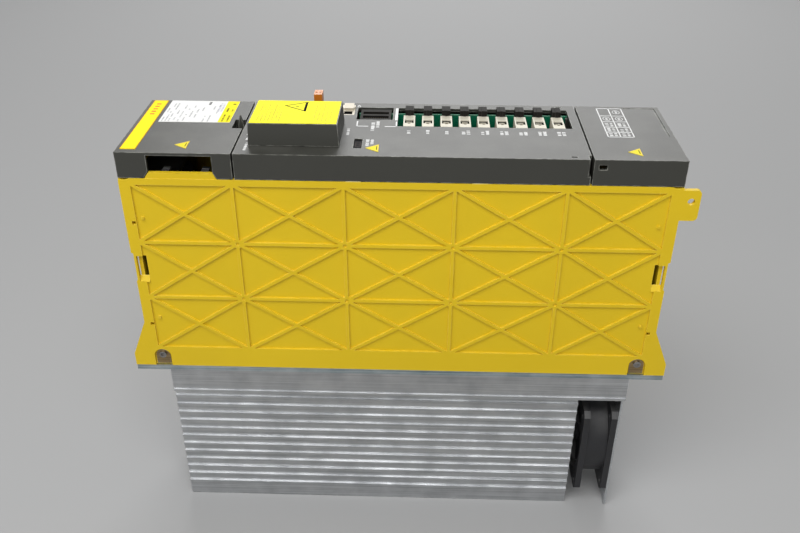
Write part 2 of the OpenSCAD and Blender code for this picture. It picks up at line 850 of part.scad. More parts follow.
module faceplate() {
    color("#56574f") difference() {
        union() {
            cover_shell(faceplate_x);
            // ears that stand in the terminal window's cover
            for (side = [-1, 1])
                span([dc_x + side * dc_ear_x - dc_ear_w / 2, dc_hinge_y - dc_ear_r,
                    front_z - eps], [dc_x + side * dc_ear_x + dc_ear_w / 2,
                    dc_hinge_y + dc_ear_r, dc_hinge_z + dc_ear_r]);
            // rails that hold the control board
            for (x = [board_x[0], board_x[1] - 3])
                span([x, board_y - 3, case_top - 8], [x + 3, board_y, front_z - 1]);
        }
        translate([0, 0, front_z - cover_t - 1]) linear_extrude(cover_t + 2)
            faceplate_openings();
        rod_x(dc_hinge_y, dc_hinge_z, dc_x - dc_cover_l / 2, dc_x + dc_cover_l / 2,
            dc_pin_r + run);
        // seam's jog beside the terminal cover
        span([faceplate_x[1] - 1.6, -half_w - 1, front_z - 12],
            [faceplate_x[1] + 1, -half_w + 6, front_z + 1]);
    }
}

module faceplate_mark() {
    triangle_mark(-13.3, -33, 10.6);
}

module status_display() {
    color("#141416") span([window_x[0], window_y[0], front_z - 10],
        [window_x[1], window_y[1], front_z - 0.8]);
}

module control_board() {
    color("seagreen") slab_y(board_y, board_y + board_t)
        polygon([[board_x[0], board_low], [board_x[1], board_low], [board_x[1], board_high],
            [board_step_x, board_high], [board_step_x, board_step_z],
            [board_x[0], board_step_z]]);
}

module control_chips() {
    color("#1b1b1e") for (chip = [[-40, 70, 26, 26], [0, 66, 32, 20], [44, 72, 24, 24],
        [84, 70, 20, 30], [-6, 104, 40, 16], [50, 106, 28, 14], [88, 110, 16, 16]])
        span([chip[0], board_y - 3.4, chip[1]],
            [chip[0] + chip[2], board_y, chip[1] + chip[3]]);
}

// One right-angle signal connector: shell, keyed mouth and contact tongue
module signal_connector(i) {
    x = connector_x0 + (i - 1) * connector_pitch;
    half = connector_w / 2 - shell_t;
    color("ivory") difference() {
        span([x - connector_w / 2, connector_y, connector_base_z],
            [x + connector_w / 2, connector_y + connector_l, front_z]);
        difference() {
            span([x - half, mouth_y, front_z - mouth_depth],
                [x + half, mouth_y + mouth_l, front_z + 1]);
            // contact tongue
            span([x - half + 1, mouth_y + mouth_l - 1.4, front_z - mouth_depth - 1],
                [x + half - 1, mouth_y + mouth_l - 0.6, front_z - 1.4]);
        }
        // keyway in the mouth's near side
        span([x - 0.9, mouth_y - 1.1, front_z - 6], [x + 0.9, mouth_y + eps, front_z + 1]);
        // step behind the mouth
        span([x - half, mouth_y + mouth_l + 1.4, front_z - 0.8],
            [x + half, mouth_y + mouth_l + 2.1, front_z + 1]);
    }
}

// Black latch towers between the connectors' shells and the board, each with a
// raised rib up its near face
module connector_latches() {
    half = connector_w / 2 - 1;
    top = front_z + 3.8;
    color("#1c1c1e") for (i = [1 : connector_n]) {
        x = connector_x0 + (i - 1) * connector_pitch;
        y = connector_y + connector_l;
        span([x - half, y, connector_base_z], [x + half, board_y, top]);
        span([x - 0.9, y - 0.9, front_z + 0.3], [x + 0.9, y + 5, top + 0.5]);
    }
}

// Two-row header: a shell with a tongue between its two rows, and a rim that reaches
// over the board
module bus_connector() {
    y0 = bus_slot_y[0] + 0.7;
    z1 = front_z - 0.6;
    row_w = 4.4;
    end_t = 1.6;
    color("#151517") difference() {
        union() {
            span([bus_x[0], y0, connector_base_z - 4], [bus_x[1], board_y, z1]);
            span([bus_x[0], y0, board_high + gap], [bus_x[1], bus_slot_y[1] - 1.9, z1]);
        }
        for (y = [y0 + 3.7, board_y - 1.2 - row_w])
            span([bus_x[0] + end_t, y, z1 - 9], [bus_x[1] - end_t, y + row_w, z1 + 1]);
    }
}

// Small socket: a mouth in its near part, and a raised far part with an ear each side
module monitor_connector() {
    mid = (monitor_x[0] + monitor_x[1]) / 2;
    back_y = monitor_y[0] + 8.4;
    top = front_z + 1.4;
    color("wheat") difference() {
        union() {
            span([monitor_x[0], monitor_y[0], board_step_z], [monitor_x[1], monitor_y[1],
                front_z - 0.4]);
            span([mid - 3.4, back_y, front_z - 1], [mid + 3.4, monitor_y[1], top]);
            span([monitor_x[0], back_y + 2.6, front_z - 1], [monitor_x[1], back_y + 6.8,
                top - 0.4]);
        }
        span([mid - 2.9, monitor_y[0] + 1.6, front_z - 6], [mid + 2.9, back_y - 0.8,
            front_z + 1]);
    }
}

module plug_header() {
    w = plug_w / 2 + header_wall;
    color("#e6e2d5") difference() {
        span([plug_x - w, plug_y[0] - header_wall, board_step_z], [plug_x + w,
            plug_y[1] + header_wall, front_z + 1]);
        span([plug_x - plug_w / 2 - gap / 2, plug_y[0] - gap / 2, board_step_z + 6],
            [plug_x + plug_w / 2 + gap / 2, plug_y[1] + gap / 2, front_z + 2]);
    }
}

// Plug block with two wire holes in its top
module orange_plug() {
    low = board_step_z + 6 + gap;
    mid_y = (plug_y[0] + plug_y[1]) / 2;
    color("darkorange") difference() {
        span([plug_x - plug_w / 2, plug_y[0], low], [plug_x + plug_w / 2, plug_y[1], plug_top]);
        for (side = [-1, 1]) translate([plug_x + side * 1.3, mid_y, plug_top - 8])
            cylinder(r = 0.8, h = 9);
    }
}

module dc_link_cover() {
    half = dc_cover_l / 2;
    z0 = front_z + gap;
    z1 = z0 + dc_cover_h;
    draft = 0.8;
    color("#56574f") {
        difference() {
            hull() {
                span([dc_x - half, dc_y[0], z0], [dc_x + half, dc_y[1], z0 + 1]);
                span([dc_x - half + draft, dc_y[0] + draft, z1 - 1],
                    [dc_x + half - draft, dc_y[1] - draft, z1]);
            }
            span([dc_x - half + cover_t + draft, dc_y[0] + cover_t, z0 - 1],
                [dc_x + half - cover_t - draft, dc_y[1] - cover_t - draft, z1 - cover_t]);
            // slots in the far wall for the ears
            for (side = [-1, 1])
                span([dc_x + side * dc_ear_x - dc_ear_w / 2 - gap, dc_hinge_y - dc_slot_r,
                    z0 - 1], [dc_x + side * dc_ear_x + dc_ear_w / 2 + gap, dc_y[1] + 1,
                    dc_hinge_z + dc_slot_r]);
        }
        // pins across the slots
        for (side = [-1, 1])
            rod_x(dc_hinge_y, dc_hinge_z, dc_x + side * dc_ear_x - dc_ear_w / 2 - 1.4,
                dc_x + side * dc_ear_x + dc_ear_w / 2 + 1.4, dc_pin_r);
    }
}

module dc_cover_label() {
    half = dc_cover_l / 2 - 1.4;
    z = front_z + gap + dc_cover_h;
    color("yellow") span([dc_x - half, dc_y[0] + 1.4, z], [dc_x + half, dc_y[1] - 1.4,
        z + label_t]);
}

module terminal_cover() {
    color("#56574f") difference() {
        union() {
            cover_shell(terminal_cover_x);
            hinge_eyes(terminal_hinge);
        }
        hinge_cuts(terminal_hinge, 1);
        // release notch in the near side
        span([terminal_cover_x[0] + 3.2, -half_w - 1, front_z - 7],
            [terminal_cover_x[0] + 8.3, -half_w + cover_t + 1, front_z - 3.7]);
        // shallow groove round the label field
        for (g = [[[153.8, 40.8], [176, 42]], [[174.8, -7], [176, 41]]])
            span([g[0][0], g[0][1], front_z - 0.5], [g[1][0], g[1][1], front_z + 1]);
    }
}

module terminal_cover_mark() {
    triangle_mark(152, -32.9, 10.3);
}

side_wall_near();
side_wall_far();
fan_end_wall();
terminal_end_wall();
mounting_flange();
heatsink();
heatsink_fan_bracket();
heatsink_fan_frame();
heatsink_fan_rotor();
case_washers();
case_screws();
igbt_modules();
igbt_screws();
board_standoffs();
power_board();
capacitors();
current_sensors();
relay();
dc_pillars();
dc_bus_bars();
dc_terminal_block();
dc_terminal_screws();
terminal_block();
terminal_screws();
window_tabs();
fan_tray();
fan_guards();
color("#202022") fan_frame_at(fan_z_a);  // fan_frame_a
color("#202022") fan_frame_at(fan_z_b);  // fan_frame_b
color("#303034") fan_rotor_at(fan_z_a);  // fan_rotor_a
color("#303034") fan_rotor_at(fan_z_b);  // fan_rotor_b
fan_cover();
strip_label();
rating_plate();
fan_cover_mark();
cover_latch();
faceplate();
faceplate_mark();
status_display();
control_board();
control_chips();
for (i = [1 : connector_n])
    signal_connector(i);
connector_latches();
bus_connector();
monitor_connector();
plug_header();
orange_plug();
dc_link_cover();
dc_cover_label();
terminal_cover();
terminal_cover_mark();
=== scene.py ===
import math
import random

import bmesh
import bpy
from mathutils import Matrix, Vector


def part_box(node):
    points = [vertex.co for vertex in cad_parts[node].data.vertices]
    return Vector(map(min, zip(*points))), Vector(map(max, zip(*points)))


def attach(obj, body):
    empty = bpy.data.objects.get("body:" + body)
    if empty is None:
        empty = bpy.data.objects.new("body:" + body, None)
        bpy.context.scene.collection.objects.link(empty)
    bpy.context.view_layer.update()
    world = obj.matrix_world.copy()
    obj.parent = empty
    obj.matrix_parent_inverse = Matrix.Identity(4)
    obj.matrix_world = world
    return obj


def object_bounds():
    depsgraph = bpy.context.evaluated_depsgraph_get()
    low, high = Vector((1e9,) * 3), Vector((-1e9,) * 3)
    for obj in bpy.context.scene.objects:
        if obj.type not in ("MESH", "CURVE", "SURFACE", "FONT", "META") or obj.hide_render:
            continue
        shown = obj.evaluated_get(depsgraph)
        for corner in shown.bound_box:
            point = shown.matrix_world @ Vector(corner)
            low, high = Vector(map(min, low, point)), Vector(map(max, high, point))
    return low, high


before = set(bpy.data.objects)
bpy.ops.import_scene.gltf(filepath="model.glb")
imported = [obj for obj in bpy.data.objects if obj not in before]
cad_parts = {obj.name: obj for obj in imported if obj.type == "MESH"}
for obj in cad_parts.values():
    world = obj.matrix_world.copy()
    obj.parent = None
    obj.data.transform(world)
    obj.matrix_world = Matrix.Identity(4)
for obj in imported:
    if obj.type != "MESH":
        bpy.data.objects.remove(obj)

cad_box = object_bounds()


# ---- The room ----
# A pale floor that runs back past the view, three large soft lamps and an even sky.
# The module stands on its fin edges, so the floor lies just under them.
camera = bpy.data.objects.new("camera", bpy.data.cameras.new("camera"))
bpy.context.scene.collection.objects.link(camera)
camera.data.sensor_width = 36.0
camera.data.lens = 39.07
camera.data.clip_start, camera.data.clip_end = 0.05, 30.0
look = Vector((-0.02374, 0.85044, -0.52553)).normalized()
level = Vector((0.99954, 0.03017, 0.00368))
level = (level - look * level.dot(look)).normalized()
camera.matrix_world = Matrix.Translation((0.01465, -0.5391, 0.3972)) @ Matrix(
    (level, level.cross(look), -look)).transposed().to_4x4()
bpy.context.scene.camera = camera
bpy.context.scene.view_settings.view_transform = "Standard"


def soft_lamp(name, place, aim, size, watts):
    """A rectangular lamp at a place, turned towards another place."""
    lamp = bpy.data.objects.new(name, bpy.data.lights.new(name, "AREA"))
    lamp.data.shape = "RECTANGLE"
    lamp.data.size, lamp.data.size_y = size
    lamp.data.energy = watts
    lamp.location = place
    lamp.rotation_mode = "QUATERNION"
    lamp.rotation_quaternion = (Vector(aim) - Vector(place)).to_track_quat("-Z", "Y")
    bpy.context.scene.collection.objects.link(lamp)
    return lamp


soft_lamp("lamp_behind", (0.1, 2.1, 1.5), (0.0, 0.0, 0.12), (1.9, 1.2), 40)
soft_lamp("lamp_above", (-0.2, -0.75, 1.35), (0.0, 0.0, 0.05), (1.5, 0.7), 21)
soft_lamp("lamp_front", (-0.9, -2.3, 0.9), (0.0, 0.0, 0.02), (1.8, 1.4), 12.5)

world = bpy.data.worlds.new("even_sky")
bpy.context.scene.world = world
world.use_nodes = True
world.node_tree.nodes["Background"].inputs["Color"].default_value = (0.72, 0.73, 0.74, 1)
world.node_tree.nodes["Background"].inputs["Strength"].default_value = 0.42

floor_shape = bmesh.new()
floor_z = cad_box[0].z - 0.0004
floor_corners = [floor_shape.verts.new((x, y, floor_z))
                 for x, y in ((-7, -7), (7, -7), (7, 7), (-7, 7))]
floor_shape.faces.new(floor_corners)
floor_mesh = bpy.data.meshes.new("floor")
floor_shape.to_mesh(floor_mesh)
floor = bpy.data.objects.new("floor", floor_mesh)
bpy.context.scene.collection.objects.link(floor)
paper = bpy.data.materials.new("backdrop_paper")
paper.use_nodes = True
paper_skin = paper.node_tree.nodes["Principled BSDF"]
paper_skin.inputs["Base Color"].default_value = (0.36, 0.36, 0.36, 1)
paper_skin.inputs["Roughness"].default_value = 0.9
paper_skin.inputs["Specular IOR Level"].default_value = 0.1
floor.data.materials.append(paper)


# ---- Heat sink ----
# An aluminium extrusion: a thick base, a skirt down each side and long fins whose
# outer faces are ribbed. It is sawn to length and left bare, so it shows die lines.
def new_group(name, inputs, outputs):
    """A shader node group with named sockets, and its two end nodes."""
    group = bpy.data.node_groups.new(name, "ShaderNodeTree")
    for label, value in inputs:
        kind = "NodeSocketFloat" if isinstance(value, float) else "NodeSocketColor"
        made = group.interface.new_socket(label, in_out="INPUT", socket_type=kind)
        made.default_value = value if isinstance(value, float) else (*value, 1)
    for label in outputs:
        kind = "NodeSocketColor" if label == "Colour" else "NodeSocketFloat"
        group.interface.new_socket(label, in_out="OUTPUT", socket_type=kind)
    return group, group.nodes.new("NodeGroupInput"), group.nodes.new("NodeGroupOutput")


def join(tree, value, slot):
    """Links a socket to a slot, or sets the slot to a number or a colour."""
    if isinstance(value, bpy.types.NodeSocket):
        tree.links.new(value, slot)
    elif isinstance(value, (int, float)):
        slot.default_value = value
    else:
        slot.default_value = (*value[:3], 1)


def maths(tree, operation, a, b, clamp=False):
    step = tree.nodes.new("ShaderNodeMath")
    step.operation = operation
    step.use_clamp = clamp
    join(tree, a, step.inputs[0])
    join(tree, b, step.inputs[1])
    return step.outputs[0]


def mixed(tree, factor, first, second):
    mix = tree.nodes.new("ShaderNodeMix")
    mix.data_type = "RGBA"
    for value, slot in ((factor, 0), (first, 6), (second, 7)):
        join(tree, value, mix.inputs[slot])
    return mix.outputs[2]


def noise(tree, waves, detail=3.0, stretch=(1.0, 1.0, 1.0)):
    """Noise in the piece's own space, in waves to the metre before the stretch."""
    place = tree.nodes.new("ShaderNodeTexCoord")
    scaled = tree.nodes.new("ShaderNodeMapping")
    scaled.inputs["Scale"].default_value = stretch
    tree.links.new(place.outputs["Object"], scaled.inputs["Vector"])
    made = tree.nodes.new("ShaderNodeTexNoise")
    tree.links.new(scaled.outputs["Vector"], made.inputs["Vector"])
    join(tree, waves, made.inputs["Scale"])
    made.inputs["Detail"].default_value = detail
    return made.outputs["Fac"]


def spread(tree, value, low, high, to_low=0.0, to_high=1.0):
    """Eases a value from low..high to to_low..to_high."""
    step = tree.nodes.new("ShaderNodeMapRange")
    step.interpolation_type = "SMOOTHSTEP"
    for label, given in (("Value", value), ("From Min", low), ("From Max", high),
                         ("To Min", to_low), ("To Max", to_high)):
        join(tree, given, step.inputs[label])
    return step.outputs["Result"]


def place_group(tree, group, **values):
    """A node group with its inputs joined; '_' in a name stands for a space."""
    placed = tree.nodes.new("ShaderNodeGroup")
    placed.node_tree = group
    for label, value in values.items():
        join(tree, value, placed.inputs[label.replace("_", " ")])
    return placed.outputs


def bumpy(tree, skin, height, strength, depth):
    dent = tree.nodes.new("ShaderNodeBump")
    dent.inputs["Strength"].default_value = strength
    dent.inputs["Distance"].default_value = depth
    tree.links.new(height, dent.inputs["Height"])
    tree.links.new(dent.outputs["Normal"], skin.inputs["Normal"])


# Corners rubbed by hands and tools, and on the grey covers a painted highlight along the edges:
# where a rounded normal leaves the flat one
worn_and_highlit_edges, edge_in, edge_out = new_group(
    "worn_and_highlit_edges",
    [("Colour", (0.5, 0.5, 0.5)), ("Worn Colour", (0.8, 0.8, 0.8)), ("Amount", 0.5),
     ("Patchiness", 180.0)], ["Colour", "Mask"])
rounded = worn_and_highlit_edges.nodes.new("ShaderNodeBevel")
rounded.samples = 4
rounded.inputs["Radius"].default_value = 0.0009
flat = worn_and_highlit_edges.nodes.new("ShaderNodeNewGeometry")
turn = worn_and_highlit_edges.nodes.new("ShaderNodeVectorMath")
turn.operation = "DOT_PRODUCT"
worn_and_highlit_edges.links.new(rounded.outputs["Normal"], turn.inputs[0])
worn_and_highlit_edges.links.new(flat.outputs["Normal"], turn.inputs[1])
corner = spread(worn_and_highlit_edges, maths(worn_and_highlit_edges, "SUBTRACT", 1.0, turn.outputs["Value"]),
                0.01, 0.12)
patches = spread(worn_and_highlit_edges, noise(worn_and_highlit_edges, edge_in.outputs["Patchiness"], 4.0), 0.3, 0.65)
worn_and_highlit = maths(worn_and_highlit_edges, "MULTIPLY", corner, patches)
worn_and_highlit = maths(worn_and_highlit_edges, "MULTIPLY", worn_and_highlit, edge_in.outputs["Amount"], clamp=True)
worn_and_highlit_edges.links.new(mixed(worn_and_highlit_edges, worn_and_highlit, edge_in.outputs["Colour"],
                           edge_in.outputs["Worn Colour"]), edge_out.inputs["Colour"])
worn_and_highlit_edges.links.new(worn_and_highlit, edge_out.inputs["Mask"])

# Streaks along X that a die, a saw or a rolling mill leaves, with duller blots
drawn_streaks, streak_in, streak_out = new_group(
    "drawn_streaks",
    [("Colour", (0.7, 0.7, 0.7)), ("Dull Colour", (0.45, 0.46, 0.47)), ("Dullest", 0.5),
     ("Glossiest", 0.28)], ["Colour", "Roughness", "Height"])
die_lines = noise(drawn_streaks, 1.0, 4.0, (9.0, 900.0, 900.0))
blots = noise(drawn_streaks, 60.0, 5.0)
dullness = spread(drawn_streaks, maths(
    drawn_streaks, "ADD", maths(drawn_streaks, "MULTIPLY", die_lines, 0.6),
    maths(drawn_streaks, "MULTIPLY", blots, 0.4)), 0.3, 0.72)
drawn_streaks.links.new(mixed(drawn_streaks, dullness, streak_in.outputs["Colour"],
                              streak_in.outputs["Dull Colour"]), streak_out.inputs["Colour"])
drawn_streaks.links.new(spread(drawn_streaks, dullness, 0.0, 1.0,
                               streak_in.outputs["Glossiest"], streak_in.outputs["Dullest"]),
                        streak_out.inputs["Roughness"])
drawn_streaks.links.new(die_lines, streak_out.inputs["Height"])


def drawn_metal(name, colour, dull_colour, dull=0.5, gloss=0.28, wear_and_highlight=0.4):
    """Bare extruded, sawn or rolled metal with streaks along X."""
    made = bpy.data.materials.new(name)
    made.use_nodes = True
    tree = made.node_tree
    skin = tree.nodes["Principled BSDF"]
    base = place_group(tree, drawn_streaks, Colour=colour, Dull_Colour=dull_colour,
                       Dullest=dull, Glossiest=gloss)
    edge = place_group(tree, worn_and_highlit_edges, Colour=base["Colour"],
                       Worn_Colour=(0.85, 0.86, 0.87), Amount=wear_and_highlight)
    tree.links.new(edge["Colour"], skin.inputs["Base Color"])
    tree.links.new(base["Roughness"], skin.inputs["Roughness"])
    skin.inputs["Metallic"].default_value = 1.0
    bumpy(tree, skin, base["Height"], 0.35, 0.00005)
    return made


def dress(node, material, round_by=0.0, steps=2):
    """Gives a CAD node its material and softens its corners."""
    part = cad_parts[node]
    part.data.materials.clear()
    part.data.materials.append(material)
    if round_by:
        soften = part.modifiers.new("soft_corners", "BEVEL")
        soften.width = round_by
        soften.segments = steps
        soften.limit_method = "ANGLE"
        soften.angle_limit = math.radians(35)
        soften.harden_normals = True


extruded = drawn_metal("extruded_aluminium", (0.66, 0.67, 0.68), (0.40, 0.41, 0.42))
dress("heatsink", extruded, 0.0003, 1)


# ---- Mounting flange ----
# A plate of sawn aluminium that the whole module hangs on, drilled for four bolts.
# Its sawn edge is rougher and bluer than the extrusion.
sawn = drawn_metal("sawn_aluminium", (0.62, 0.68, 0.70), (0.24, 0.30, 0.32), dull=0.62,
                   gloss=0.34)
dress("mounting_flange", sawn, 0.0003, 1)


# ---- Case ----
# Two ribbed side walls and two end walls, moulded in yellow plastic with a fine
# spark-eroded grain. The ends butt between the sides.
moulded_grain, grain_in, grain_out = new_group(
    "moulded_grain",
    [("Colour", (0.5, 0.5, 0.5)), ("Grain Size", 2600.0), ("Tone Change", 0.1),
     ("Dullest", 0.6), ("Glossiest", 0.4)], ["Colour", "Roughness", "Height"])
clouds = spread(moulded_grain, noise(moulded_grain, 14.0, 5.0), 0.25, 0.75)
fine = noise(moulded_grain, grain_in.outputs["Grain Size"], 2.0)
tone = maths(moulded_grain, "MULTIPLY", clouds, grain_in.outputs["Tone Change"])
moulded_grain.links.new(mixed(moulded_grain, tone, grain_in.outputs["Colour"],
                              (0.0, 0.0, 0.0)), grain_out.inputs["Colour"])
moulded_grain.links.new(spread(moulded_grain, fine, 0.2, 0.8, grain_in.outputs["Glossiest"],
                               grain_in.outputs["Dullest"]), grain_out.inputs["Roughness"])
moulded_grain.links.new(fine, grain_out.inputs["Height"])

# Dust that settles in patches on faces turned up
settled_dust, dust_in, dust_out = new_group(
    "settled_dust", [("Colour", (0.5, 0.5, 0.5)), ("Amount", 0.2)], ["Colour", "Mask"])
facing = settled_dust.nodes.new("ShaderNodeNewGeometry")
parted = settled_dust.nodes.new("ShaderNodeSeparateXYZ")
settled_dust.links.new(facing.outputs["Normal"], parted.inputs[0])
upward = spread(settled_dust, parted.outputs["Z"], 0.3, 0.95)
lying = spread(settled_dust, noise(settled_dust, 38.0, 6.0), 0.3, 0.75)
dusty = maths(settled_dust, "MULTIPLY", upward, lying)
dusty = maths(settled_dust, "MULTIPLY", dusty, dust_in.outputs["Amount"], clamp=True)
settled_dust.links.new(mixed(settled_dust, dusty, dust_in.outputs["Colour"],
                             (0.42, 0.41, 0.38)), dust_out.inputs["Colour"])
settled_dust.links.new(dusty, dust_out.inputs["Mask"])


def moulded_plastic(name, colour, worn_and_highlit_colour, grain=2600.0, dull=0.62, gloss=0.42, wear_and_highlight=0.5,
                    dust=0.15, change=0.1, coarse=0.00004, specular=0.5):
    """Grained plastic: clouds of tone, lighter corners (rubbing wear, and on the grey covers a
    painted highlight) and a little dust on top.
    """
    made = bpy.data.materials.new(name)
    made.use_nodes = True
    tree = made.node_tree
    skin = tree.nodes["Principled BSDF"]
    base = place_group(tree, moulded_grain, Colour=colour, Grain_Size=grain,
                       Tone_Change=change, Dullest=dull, Glossiest=gloss)
    edge = place_group(tree, worn_and_highlit_edges, Colour=base["Colour"], Worn_Colour=worn_and_highlit_colour, Amount=wear_and_highlight)
    dusted = place_group(tree, settled_dust, Colour=edge["Colour"], Amount=dust)
    tree.links.new(dusted["Colour"], skin.inputs["Base Color"])
    tree.links.new(base["Roughness"], skin.inputs["Roughness"])
    skin.inputs["Specular IOR Level"].default_value = specular
    bumpy(tree, skin, base["Height"], 0.5, coarse)
    return made


case_yellow = moulded_plastic("case_yellow", (0.72, 0.50, 0.008), (0.86, 0.66, 0.10),
                              grain=2200.0, dull=0.6, gloss=0.42, wear_and_highlight=0.6, dust=0.04,
                              change=0.05, coarse=0.00003, specular=0.35)
for wall in ("side_wall_near", "side_wall_far", "fan_end_wall", "terminal_end_wall"):
    dress(wall, case_yellow, 0.0006, 3)


# ---- Snap lugs ----
# Two paler lugs on the near wall's top edge, where the faceplate snaps on. They are
# moulded with the wall and rubbed pale by it.
def mm_box(node):
    """A node's lowest and highest corners in millimetres."""
    low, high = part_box(node)
    return low * 1000, high * 1000


def add_piece(name, shape, material, body):
    """Makes a piece from a bmesh drawn in millimetres, and sets it riding on its body."""
    bmesh.ops.scale(shape, vec=(0.001, 0.001, 0.001), verts=shape.verts)
    bmesh.ops.recalc_face_normals(shape, faces=shape.faces)
    mesh = bpy.data.meshes.new(name)
    shape.to_mesh(mesh)
    shape.free()
    mesh.materials.append(material)
    piece = bpy.data.objects.new(name, mesh)
    bpy.context.scene.collection.objects.link(piece)
    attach(piece, body)
    return piece


def add_block(shape, low, high):
    """A box between two corners."""
    made = bmesh.ops.create_cube(shape, size=1.0)["verts"]
    low, high = Vector(low), Vector(high)
    for corner_vert in made:
        corner_vert.co = (low + high) / 2 + corner_vert.co * (high - low)


lug_yellow = moulded_plastic("lug_yellow", (0.80, 0.66, 0.20), (0.9, 0.8, 0.5), wear_and_highlight=0.3)
near_face = mm_box("side_wall_near")[0].y
lug_half, lug_back, lug_foot, lug_top = 4.9, -43.2, 152.9, 154.3
lugs = bmesh.new()
for lug_x in (-29.0, 51.1):
    add_block(lugs, (lug_x - lug_half, near_face + 0.02, lug_foot),
              (lug_x + lug_half, lug_back, lug_top))
add_piece("snap_lugs", lugs, lug_yellow, "chassis")


# ---- Case screws and their plates ----
# Socket screws on passivated steel plates, sunk in the arched pockets that hold the
# case to the flange's ears.
passivated = drawn_metal("passivated_steel", (0.46, 0.33, 0.16), (0.20, 0.14, 0.08))
plated = drawn_metal("plated_steel", (0.40, 0.38, 0.36), (0.20, 0.19, 0.18))
dress("case_washers", passivated)
dress("case_screws", plated, 0.0002, 1)


# ---- Fans ----
# Square axial fans of black plastic. One sits behind the fins on a zinc-plated
# bracket, and two ride in the slide-out tray behind their guards.
fan_black = moulded_plastic("fan_black", (0.016, 0.016, 0.018), (0.10, 0.10, 0.10),
                            grain=3000.0, dull=0.6, gloss=0.42, wear_and_highlight=0.3, dust=0.2)
zinc = drawn_metal("zinc_plate", (0.66, 0.68, 0.69), (0.48, 0.50, 0.52), dull=0.4, gloss=0.25)
for fan_piece in ("heatsink_fan_frame", "fan_frame_a", "fan_frame_b", "heatsink_fan_rotor",
                  "fan_rotor_a", "fan_rotor_b"):
    dress(fan_piece, fan_black, 0.0003, 1)
dress("fan_tray", fan_black, 0.0004, 2)
dress("fan_guards", zinc, 0.0002, 1)
dress("heatsink_fan_bracket", zinc, 0.0002, 1)


# ---- Fan stickers ----
# A round silver foil on each fan's motor seat, with plain rings and bars of print.
def add_ring(shape, centre, inner, outer, thickness, points=40):
    """A flat ring or disc that faces +X, its back at the centre."""
    for step in range(points):
        corners = []
        for turn_at in (step, step + 1):
            angle = turn_at / points * math.tau
            for radius in (inner, outer):
                for depth in (0.0, thickness):
                    corners.append(shape.verts.new(
                        centre + Vector((depth, math.cos(angle) * radius,
                                         math.sin(angle) * radius))))
        bmesh.ops.convex_hull(shape, input=corners)


foil = drawn_metal("silver_foil", (0.72, 0.73, 0.74), (0.60, 0.61, 0.62), dull=0.35, gloss=0.2)
ink_dark = moulded_plastic("ink_dark", (0.012, 0.012, 0.013), (0.1, 0.1, 0.1), dull=0.9,
                           gloss=0.8, wear_and_highlight=0.0, dust=0.0, specular=0.1)
seat_reach = 0.21        # radius of the motor's seat, as a share of the frame's width
foil_t = 0.08
for fan_node, fan_body in (("heatsink_fan_frame", "chassis"), ("fan_frame_a", "tray"),
                           ("fan_frame_b", "tray")):
    fan_low, fan_high = mm_box(fan_node)
    hub = Vector((fan_high.x - 0.3, (fan_low.y + fan_high.y) / 2,
                  (fan_low.z + fan_high.z) / 2))
    hub_r = (fan_high.y - fan_low.y) * seat_reach
    sticker = bmesh.new()
    add_ring(sticker, hub, 0.0, hub_r * 0.86, foil_t)
    add_piece(fan_node + "_sticker", sticker, foil, fan_body)
    print_on = bmesh.new()
    add_ring(print_on, hub + Vector((foil_t, 0, 0)), hub_r * 0.76, hub_r * 0.80, 0.03)
    for row in range(4):
        width = hub_r * (0.9, 0.62, 0.74, 0.4)[row] * 0.5
        up = hub.z + hub_r * (0.36 - row * 0.24)
        add_block(print_on, (hub.x + foil_t, hub.y - width, up - 0.5),
                  (hub.x + foil_t + 0.03, hub.y + width, up + 0.5))
    add_piece(fan_node + "_sticker_print", print_on, ink_dark, fan_body)


# ---- Power stage ----
# Switching modules bolted to the heat sink, a power board above them on standoffs
# with capacitors, relay and current sensors, and copper bars up to the front.
resist_green = moulded_plastic("solder_resist", (0.004, 0.17, 0.085), (0.25, 0.30, 0.2),
                               grain=900.0, dull=0.4, gloss=0.22, wear_and_highlight=0.3, dust=0.05,
                               coarse=0.00002)
cream = moulded_plastic("cream_moulding", (0.78, 0.74, 0.64), (0.9, 0.88, 0.8), dull=0.5,
                        gloss=0.35, wear_and_highlight=0.2, dust=0.1)
sleeve = moulded_plastic("capacitor_sleeve", (0.02, 0.023, 0.03), (0.1, 0.1, 0.1), dull=0.3,
                         gloss=0.15, wear_and_highlight=0.1, dust=0.1)
pillar_red = moulded_plastic("insulator_red", (0.22, 0.03, 0.018), (0.4, 0.1, 0.05))
bar_copper = drawn_metal("copper_bar", (0.72, 0.36, 0.20), (0.50, 0.24, 0.13))
dress("igbt_modules", cream, 0.0004)
dress("igbt_screws", plated, 0.0002, 1)
dress("board_standoffs", passivated, 0.0002, 1)
dress("power_board", resist_green)
dress("capacitors", sleeve, 0.0004)
dress("current_sensors", fan_black, 0.0003)
dress("relay", cream, 0.0004)
dress("dc_pillars", pillar_red, 0.0003)
dress("dc_bus_bars", bar_copper, 0.0002)


# ---- Capacitor tops ----
# Aluminium can ends inside the sleeves, each scored with a cross that bursts first.
def solid_boxes(node):
    """The lowest and highest corners, in millimetres, of each solid in a node."""
    shape = bmesh.new()
    shape.from_mesh(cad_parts[node].data)
    bmesh.ops.remove_doubles(shape, verts=shape.verts, dist=0.000001)
    waiting = set(shape.verts)
    boxes = []
    while waiting:
        found = [waiting.pop()]
        for vert in found:
            for edge_of in vert.link_edges:
                other = edge_of.other_vert(vert)
                if other in waiting:
                    waiting.remove(other)
                    found.append(other)
        places = [vert.co * 1000 for vert in found]
        boxes.append((Vector([min(p[k] for p in places) for k in range(3)]),
                      Vector([max(p[k] for p in places) for k in range(3)])))
    shape.free()
    return sorted(boxes, key=lambda pair: (round(pair[0].x), round(pair[0].y)))


def add_disc(shape, centre, radius, height, points=48):
    """A flat disc that faces +Z, its foot at the centre."""
    made = bmesh.ops.create_cone(shape, cap_ends=True, segments=points, radius1=radius,
                                 radius2=radius, depth=height)["verts"]
    for vert in made:
        vert.co += Vector(centre) + Vector((0, 0, height / 2))


